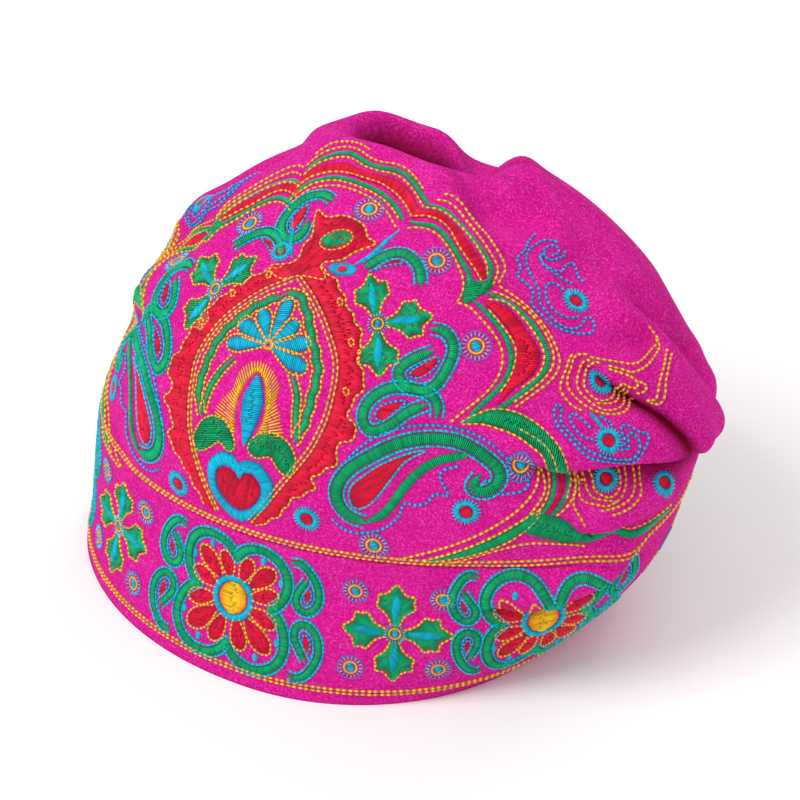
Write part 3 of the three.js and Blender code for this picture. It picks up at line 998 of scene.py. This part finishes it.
scallops = {
    # one half of the border: red satin between two edges, and the lines that follow them
    "redBands": (
        (
            ((31.5, 185.5), (40, 185.8), (44.5, 183.5), (47.5, 180), (50, 175.5), (52, 170.5), (53.5, 166),
                (53, 162)),
            ((28, 181.5), (35, 182.5), (40.5, 181.2), (43.5, 178), (45.5, 173), (47.8, 168), (49.7, 164.5),
                (51, 161.5)),
        ),
        (
            ((51.5, 155), (56.5, 154), (59.5, 149.5), (61.7, 143), (62.5, 138.5), (62, 135), (60, 131),
                (56.5, 127.5), (53, 122.5)),
            ((51.5, 155), (54, 151.2), (56.3, 146.5), (57.4, 142), (57.2, 138), (56.2, 133.5), (54.7, 129),
                (52.8, 122.5)),
        ),
    ),
    "greenLines": (
        ((35.5, 187.5), (40.5, 187.2), (44.8, 185.7), (47.5, 183), (50.3, 179), (52.3, 174.5), (54, 170),
            (55, 165), (53, 160)),
        ((27, 180.2), (31.5, 180), (36.5, 180), (40.5, 178.3), (43, 175), (45, 171.3), (46.7, 167.5),
            (48.3, 164), (48, 159.5)),
        ((52, 158.5), (55, 156.5), (58.3, 154), (60.8, 150.5), (62.8, 145.5), (63.8, 139), (63.5, 135),
            (62, 131.5), (59, 127.5), (55.5, 123.5), (51, 118.5), (46, 115.5)),
        ((48.5, 156), (51, 153.3), (53.5, 149.5), (55.5, 145), (56.3, 140.5), (56.3, 136.5), (55.3, 132),
            (53.5, 128), (51, 124), (48.5, 120), (46.5, 116)),
    ),
    "yellowLines": (
        ((45.5, 192.3), (49.5, 192.3), (53, 190.3), (55.5, 186), (57, 180), (58, 173.5), (58.8, 169),
            (59, 165), (56, 160.5)),
        ((40.5, 189.7), (45.5, 189.8), (49, 188.2), (51.5, 184.5), (53.7, 179.5), (55.2, 173.5),
            (56.3, 169.5), (57, 165), (54.5, 160)),
        ((34.5, 186.2), (40.5, 186.4), (45, 184.5), (48, 181.5), (50.8, 177), (52.7, 172), (54, 167.5),
            (53.7, 163)),
        ((28.5, 182.3), (35, 183.2), (41, 182), (44.3, 178.6), (46.2, 173.3), (48.6, 168.4), (50.4, 165),
            (51.8, 161)),
        ((26, 177.5), (30.5, 178.5), (35, 178.5), (39.5, 176.5), (42, 173.3), (44, 169.8), (45.7, 165.5),
            (46.7, 161), (46, 157), (44.5, 154.5)),
        ((56, 160), (58.8, 157.3), (61.7, 153.5), (64, 148.5), (65.5, 142.5), (66, 136), (65.3, 132.5),
            (63.3, 129), (60, 125.5), (56, 121)),
        ((54, 158.3), (56.5, 157.2), (59.7, 154.5), (62.3, 151), (64.2, 145.5), (65, 139), (64.7, 135),
            (63, 131), (59.7, 127), (55.8, 122.8)),
        ((52.5, 155.8), (57, 155), (60.3, 150), (62.4, 143.8), (63.2, 138.5), (62.7, 135), (61, 131),
            (57.5, 127.3)),
        ((52.5, 153), (54.7, 149), (56.8, 144), (57.6, 140), (56.7, 134.5), (55.2, 130), (53.3, 126)),
        ((44.5, 154.5), (47.5, 153.8), (50, 150.7), (52.5, 146.7), (54.3, 142), (54.6, 137.5), (53.7, 132.5),
            (51.8, 128), (49.3, 124), (46, 119.5), (43.5, 115.5)),
        ((36, 61.8), (43.5, 66.5), (49, 71), (54, 77.5), (58.3, 86), (60.5, 94), (60.5, 102.5)),
        ((36.5, 60.8), (46, 61.5), (51.5, 64.5), (56.5, 68), (61, 69.8), (66, 68), (70, 65.5)),
        ((70.5, 69.5), (74.5, 71.3), (76.5, 68.5), (80, 67.8), (86, 68.5)),
        ((66, 102), (66.8, 93), (66.5, 86), (68.5, 78)),
    ),
    "junction": ((47.5, 162), (51.5, 161.5), (55.3, 161.8), (53.5, 158.5), (49.5, 156), (46.8, 154.2),
        (45.8, 157)),
    "leaf": ((45.5, 115.5), (48.5, 118.7), (51.5, 120.6), (54.5, 120.5), (57, 119), (59.5, 116.2),
        (61.7, 113), (63.3, 110.3), (64.6, 106.5), (62.3, 105), (60.7, 109.3), (58.5, 111), (56, 112.9),
        (53.3, 114.3), (49.5, 115.8)),
    "slit": ((56.5, 114.7), (58.5, 113.2), (60.7, 111.3), (62.3, 109), (63.3, 106)),
    "stemGreen": (
        ((62.3, 106), (63.3, 97), (63.3, 91.5), (62.6, 86.5), (61.5, 82)),
        ((65, 106), (65.6, 96), (65.5, 91), (64.6, 86), (63.3, 82)),
    ),
    "stemRed": ((63.7, 106), (64.5, 96.5), (64.4, 91), (63.6, 86), (62.5, 83.5)),
    "stemYellow": (
        ((60.2, 104), (61.6, 96.5), (61.9, 92), (61.2, 88), (59.8, 82.5)),
        ((61.3, 106), (62.4, 97), (62.5, 92), (61.9, 87), (60.7, 82)),
        ((66, 106), (66.7, 95), (66.6, 90), (65.6, 85), (64, 81.5)),
    ),
    "longLeaf": ((41.5, 62), (47, 65.7), (51.5, 69.8), (55.5, 75), (58.5, 80), (61.5, 85), (60.5, 78.5),
        (57.5, 71.5), (53, 66.5), (47.5, 63.5)),
    "fatLeaf": ((60, 84), (64, 82), (67, 77.5), (69.5, 72), (71, 67), (67.5, 67.3), (64.5, 69.7),
        (61.5, 72.3), (59, 76)),
    "greenScallop": ((70, 67.3), (72, 68.8), (74.5, 69.3), (76.5, 66.5), (79.5, 65.7), (86, 66)),
}


middleLobe = {
    # the border's top, from the left to the right
    "redBand": (
        ((-41, 179), (-44, 185), (-44.5, 190), (-39.5, 194.5), (-30.5, 197), (-20, 197), (-9, 196), (2, 196),
            (12, 196), (20, 195), (25.5, 193), (29, 190), (32, 186)),
        ((-38, 177), (-40, 181.5), (-39, 185.5), (-34.5, 189.5), (-26.5, 192), (-18, 192.5), (-9, 192.3),
            (1, 192), (11, 191), (17.5, 189), (22.5, 187), (26.5, 184), (29, 181.5)),
    ),
    "green": (
        ((-46, 187), (-48.5, 192), (-46.5, 197), (-38.5, 200.5), (-27, 201), (-11.5, 199.3), (1.5, 198.8),
            (13, 199), (22.5, 198), (29, 195.5), (33, 192), (37, 187.5)),
        ((-36.5, 175.5), (-37, 180), (-35.5, 185), (-28.5, 189.2), (-20.5, 190.6), (-10, 190.8),
            (-0.5, 190.3), (7.5, 189.3), (15, 187.3), (20, 184.8), (24.5, 180.5)),
    ),
    "yellow": (
        ((-56, 193), (-59, 200), (-50, 205), (-34, 206.5), (-18, 205)),
        ((-50, 188), (-53, 193), (-52, 198.5), (-43, 203), (-28, 203.6), (-11.5, 201.6), (2, 201),
            (14, 201.3), (24, 200), (31, 197), (35.5, 193)),
        ((-44, 185), (-46.5, 191), (-43, 195.8), (-35, 198.8), (-25, 199.2), (-11.5, 197.8), (1, 197.3),
            (12.5, 197.3), (20.5, 196.3), (26.5, 194), (30.5, 191), (34.5, 186)),
        ((-39, 180), (-40, 185), (-34.5, 190.2), (-25, 192.8), (-15, 193.4), (-5, 193), (5, 192.8),
            (13.5, 191.3), (20.5, 189), (25, 186), (28.5, 182)),
        ((-35.5, 175), (-35.5, 180), (-33.5, 184.5), (-27, 188), (-19, 189.4), (-9, 189.4), (-1, 188.9),
            (6, 188), (13, 186.3), (18.5, 183.8), (22.5, 180.5)),
        ((-33.5, 174.5), (-33, 179), (-30.5, 183.3), (-23.5, 186.3), (-15, 187.6), (-6, 187.4), (2.5, 186.6),
            (10, 184.6), (16.5, 182), (22, 177)),
    ),
}


def border():
    satin("red", *[smoothed(edge) for edge in middleLobe["redBand"]], lift=0.65)
    for line in middleLobe["green"]:
        ribbon("green", smoothed(line), 1.9, tips=0.05, lift=0.6)
    for line in middleLobe["yellow"]:
        running("yellow", smoothed(line))
    for side in (1, -1):
        change = mirrored if side < 0 else (lambda path: np.array(path, float))
        for edges in scallops["redBands"]:
            satin("red", *[smoothed(change(edge)) for edge in edges], lift=0.65)
        for line in scallops["greenLines"]:
            ribbon("green", smoothed(change(line)), 1.9, tips=0.1, lift=0.6)
        for line in scallops["yellowLines"]:
            running("yellow", smoothed(change(line)))
        fill("green", smoothed(change(scallops["junction"]), closed=True), 10, lift=0.8)
        leaf = smoothed(change(scallops["leaf"]), closed=True)
        fill("green", leaf, 80, lift=1.0)
        running("yellow", leaf)
        running("yellow", smoothed(change(scallops["slit"])), lift=1.1)
        ribbon("red", smoothed(change(scallops["stemRed"])), 1.3, lift=0.6)
        for line in scallops["stemGreen"]:
            ribbon("green", smoothed(change(line)), 1.7)
        for line in scallops["stemYellow"]:
            running("yellow", smoothed(change(line)))
        for name, slant in (("longLeaf", -60), ("fatLeaf", 70)):
            shape = smoothed(change(scallops[name]), closed=True)
            fill("green", shape, slant * side, lift=0.75)
        running("yellow", smoothed(change(scallops["longLeaf"]), closed=True))
        ribbon("green", smoothed(change(scallops["greenScallop"])), 3.0)
    print("scalloped border drawn")


outerLines = {
    "blue": (
        ((74, 176), (69, 173), (66.5, 170), (63, 168), (63.5, 164.5), (61.5, 163), (64.5, 157.5), (63, 154),
            (64.5, 150.5), (66.5, 146.5), (70, 143), (74, 141.5), (75.5, 144.5), (75, 147)),
        ((77.5, 169.5), (74, 172), (69.5, 171), (66.5, 169), (65, 164.5), (66, 157.5), (65, 154.5),
            (65.5, 152), (68, 146), (70.5, 144), (72.5, 144.5), (74.5, 147)),
        ((78, 167.5), (77.5, 166), (74, 165.3), (71.5, 165.5), (71, 168), (73, 169.7), (76, 169), (76, 167),
            (72.5, 166.5)),
        ((70, 168), (69.5, 165.5), (71, 163), (74, 161.5), (75.5, 163), (79, 163.5), (78.5, 161),
            (77.5, 159), (78.3, 156.5)),
        ((72.5, 168.5), (70, 167.5), (69.5, 165), (71, 162.5), (73.5, 159.5), (75.5, 157.5)),
        ((72.5, 156), (70.5, 159), (68.5, 159), (67.3, 156.5), (67, 153), (68.5, 149.5), (71, 147.5),
            (73, 147.5)),
        ((64, 121.5), (63, 119.5), (63, 115.5), (64.5, 112.5), (67, 109), (70, 107), (73, 105.2), (75, 104),
            (76, 105), (77.7, 106.7), (77.7, 108), (76.5, 108.5), (75, 111), (73.3, 111.5), (73.7, 108),
            (72.5, 108.5)),
        ((64, 121.5), (64.5, 119.5), (63.7, 116), (65, 113), (67, 110), (69.5, 108), (72.5, 106), (75, 105),
            (76, 106.5), (75.5, 109), (74.5, 109.7), (74, 108.5), (74.3, 107), (72.5, 107.7)),
        ((68.5, 113), (67.5, 115.5), (66, 118), (65.3, 116.5), (66, 113.5), (67.5, 111.5), (68.7, 111)),
        ((70.5, 116), (71, 114), (72, 113.7), (72, 112)),
    ),
    "yellow": (
        ((69, 137), (68, 135.5), (66.5, 131.5), (65, 127.5), (65, 124.5), (66.5, 119.5), (68, 118)),
        ((72, 136), (70.5, 136.5), (69, 136), (68, 133), (66.5, 129), (66.5, 125), (68.5, 119.5), (71, 116),
            (74, 114.5), (76, 115), (79.5, 119.5)),
        ((72.5, 134.5), (71, 134.5), (69, 130.5), (68, 125.5), (69.5, 120.5), (71.5, 116.7), (74.5, 116),
            (76.5, 118), (78.5, 124)),
        ((74, 133), (73, 134), (71, 131.5), (69.3, 126), (70.5, 121), (72, 119.5), (73.5, 119.5), (75, 121),
            (77.5, 126.5)),
        ((70.5, 119.5), (73.5, 118), (75.5, 119.3), (78, 125)),
        ((72, 135.5), (75, 133), (78.5, 129.7), (80.5, 128.5), (85, 128.7), (86.5, 130), (86, 132.5),
            (85.5, 135.5)),
        ((75, 132), (77.5, 129), (79, 127), (82.5, 126.5), (86, 127.7), (86, 131)),
        ((75, 131.5), (78, 127.5), (79.5, 124.5), (79.7, 123), (78.5, 124.5), (77.5, 126.5)),
        ((79.5, 124.5), (80.5, 123), (81, 121.5), (80.5, 121), (79.5, 122)),
        ((87, 126), (85, 123.5), (83, 120.5), (82.5, 118), (82.3, 117), (81, 118.5)),
        ((87.5, 124), (85.5, 122), (84, 119), (83.5, 116), (83, 115), (81.5, 117.5)),
        ((68.3, 102), (69.5, 94), (69.5, 90.5), (71, 87.5), (72, 86), (73.5, 87.5), (74, 91), (74, 94.5),
            (73.3, 101)),
        ((75, 101), (75, 95), (75, 91), (74.7, 88.5), (74, 85.7), (73, 84.5), (71.5, 83.5)),
        ((76.5, 98), (76.5, 92), (76.3, 88.5), (75.5, 85.5), (73.5, 83.5), (70.5, 82.5)),
        ((78, 98), (77.3, 90), (77, 86), (76, 84.2), (74.5, 82.7), (72, 81.5)),
        ((65, 104), (66, 94.5), (65.5, 91), (65.5, 88)),
        ((66, 104), (67.2, 94.5), (67.2, 91), (68, 86.5), (71.5, 83.5)),
        ((67, 104), (68.2, 94), (68.5, 91), (69.7, 87), (73.3, 84.3)), ((66, 94.6), (68.3, 94.2)),
    ),
}
stem = ((69, 117), (69.5, 115.5), (70, 114), (70.5, 112.5))


def outerMotifs():
    for colour, lines in outerLines.items():
        for line in lines:
            bothSides(lambda path: running(colour, smoothed(path), length=1.9), line)
    bothSides(lambda path: ribbon("turquoise", smoothed(path), 1.6), stem)
    print("outer motifs drawn")


threadColours = {
    # colour, painted shade at the ends of each stitch where it sinks into the cloth, how far from its middle
    # that starts
    "red": (dye(236, 20, 66), dye(206, 8, 60), 0.2),
    "green": (dye(0, 186, 118), dye(0, 132, 92), 0.2),
    "turquoise": (dye(0, 200, 232), dye(0, 140, 206), 0.2),
    "blue": (dye(74, 194, 248), dye(48, 70, 190), 0.02),
    "paleBlue": (dye(150, 208, 246), dye(60, 110, 210), 0.17),
    "yellow": (dye(255, 226, 92), dye(232, 62, 24), 0.03),
    "gold": (dye(255, 210, 30), dye(250, 140, 30), 0.2),
}


threadShape = {
    # places along a stitch, and how high the thread stands there
    "stations": (0, 0.16, 0.5, 0.84, 1.0),
    "rises": (0.0, 0.8, 1.0, 0.8, 0.0),
    "blend": 0.24,       # length of the change to the painted shade at the ends, as a share of the stitch
    "endShadeShare": 0.85,    # how much of the painted shade at the ends shows
    "dark": 0.4,         # brightness of the darkest threads
    "darkShare": 0.6,
}


def threadLook(colour):
    look = Look("thread_" + colour)
    along, tone = look.attribute("along"), look.attribute("tone")
    middle, end, start = threadColours[colour]
    # painted shade: each stitch darkens towards its ends, where it sinks into the cloth
    edge = (along - 0.5).size().within(start, start + threadShape["blend"])
    shade = look.mix(edge * threadShape["endShadeShare"], middle, end)
    dark = tuple(threadShape["dark"] * level for level in middle[:3]) + (1.0,)
    shade = look.mix((1 - tone).within(0.25, 1.0) * threadShape["darkShare"], shade, dark)
    look.set(baseColor=shade, roughness=0.42, specular=0.22)
    return look.material


def threadPiece(carrier, colour):
    # every stitch of one colour as one mesh of small closed threads
    rows = np.concatenate(stitches[carrier, colour])
    starts, ends, widths, lifts, first, last = rows[:, :2], rows[:, 2:4], *rows[:, 4:].T
    count = len(rows)
    stations, rises = np.array(threadShape["stations"]), np.array(threadShape["rises"])
    chart = starts[:, None] + (ends - starts)[:, None] * stations[:, None]
    ground = onCloth(chart)
    normals = unit(readTable(normalsAtGrid, chart))
    way = unit(ground[:, -1] - ground[:, 0])
    sideways = unit(np.cross(normals, way[:, None]))
    lifts = lifts * chance.uniform(1 - stitch["uneven"], 1 + stitch["uneven"], count)
    top = ground + normals * (lifts[:, None] * rises)[..., None]
    half = (widths / 2)[:, None, None]
    low = ground + normals * stitch["sink"]
    corners = 11   # two ends, and three points at each of the three stations between them
    points = np.empty((count, corners, 3))
    points[:, 0], points[:, 1] = low[:, 0], low[:, -1]
    for k in range(3):
        points[:, 2 + k * 3] = low[:, k + 1] + sideways[:, k + 1] * half[:, 0]
        points[:, 3 + k * 3] = top[:, k + 1]
        points[:, 4 + k * 3] = low[:, k + 1] - sideways[:, k + 1] * half[:, 0]
    faces = []
    for a, b in ((2, 3), (3, 4), (4, 2)):
        faces += [(0, b, a), (1, a + 6, b + 6)]
        for k in (0, 3):
            faces += [(a + k, b + k, b + k + 3), (a + k, b + k + 3, a + k + 3)]
    faces = (np.array(faces)[None] + (np.arange(count) * corners)[:, None, None]).reshape(-1, 3)
    name = f"{carrier}_thread_{colour}"
    data = bpy.data.meshes.new(name)
    data.from_pydata((points.reshape(-1, 3) * millimetre).tolist(), [], faces.tolist())
    data.shade_smooth()
    share = np.array((0, 1, *np.repeat(stations[1:4], 3)))
    along = (first[:, None] + (last - first)[:, None] * share).ravel()
    tone = np.repeat(chance.uniform(0, 1, count), corners)
    for label, values in (("along", along), ("tone", tone)):
        data.attributes.new(label, "FLOAT", "POINT").data.foreach_set("value", values.astype(np.float32))
    piece = inScene(name, data)
    data.materials.append(threadLooks[colour])
    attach(piece, "root")
    carrier + "_cloth"
    print(name, count, "stitches,", len(faces), "triangles")
    return piece


addCamera()
addStudio()
bandCloth = clothPiece("band_cloth", 0, cloth["bandRows"], closed=False)
crownCloth = clothPiece("crown_cloth", cloth["bandRows"], cloth["bandRows"] + cloth["crownRows"], closed=True)
bandCloth.data.materials.append(clothLook("band_weave"))
crownCloth.data.materials.append(clothLook("crown_weave"))
for piece, node, slot in ((bandCloth, "head_band", "band_cloth"), (crownCloth, "crown", "crown_cloth")):
    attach(piece, "root")
    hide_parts(node)
print("cloth in place")

bandPattern()
redPanel()
fieldMotifs()
border()
outerMotifs()
threadLooks = {colour: threadLook(colour) for colour in threadColours}
threadPieces = {key: threadPiece(*key) for key in sorted(stitches)}
print("embroidery in place")
